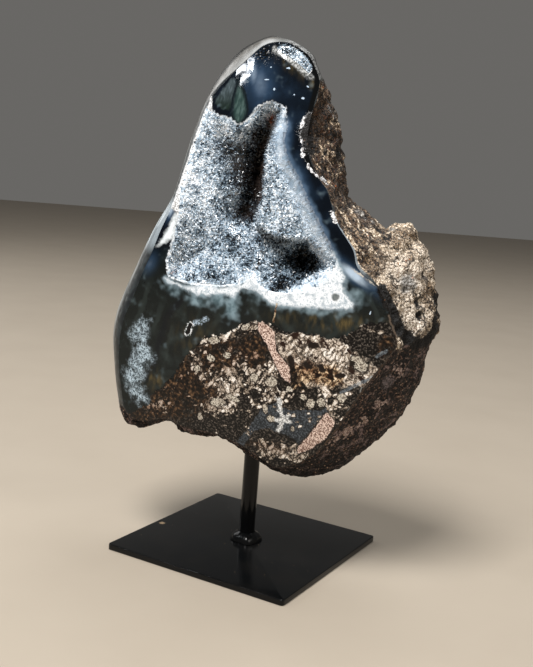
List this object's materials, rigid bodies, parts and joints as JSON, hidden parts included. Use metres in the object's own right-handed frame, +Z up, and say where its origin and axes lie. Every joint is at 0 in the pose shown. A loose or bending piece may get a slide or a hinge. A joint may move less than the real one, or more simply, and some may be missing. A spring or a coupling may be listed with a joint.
{
  "type": "agate geode on stand",
  "caption": "Polished agate geode half with a crystal-lined hollow, held upright on a black steel post with a square base plate.",
  "frame": {"origin": "centre of the underside of the base plate", "axes": "+Z up along the post, the polished front of the stone faces -Y, +X is the viewer's right"},
  "size_m": [0.1598, 0.1352, 0.2525],
  "materials": {
    "agate": "polished on the front, rough behind",
    "quartz": "clear faceted crystals",
    "black_paint": "gloss"
  },
  "bodies": {
    "root": {"geode_stone": "agate", "quartz_druse": "quartz", "crown_druse": "quartz", "base_plate": "black_paint", "post": "black_paint", "weld_bead": "black_paint"}
  },
  "joints": []
}
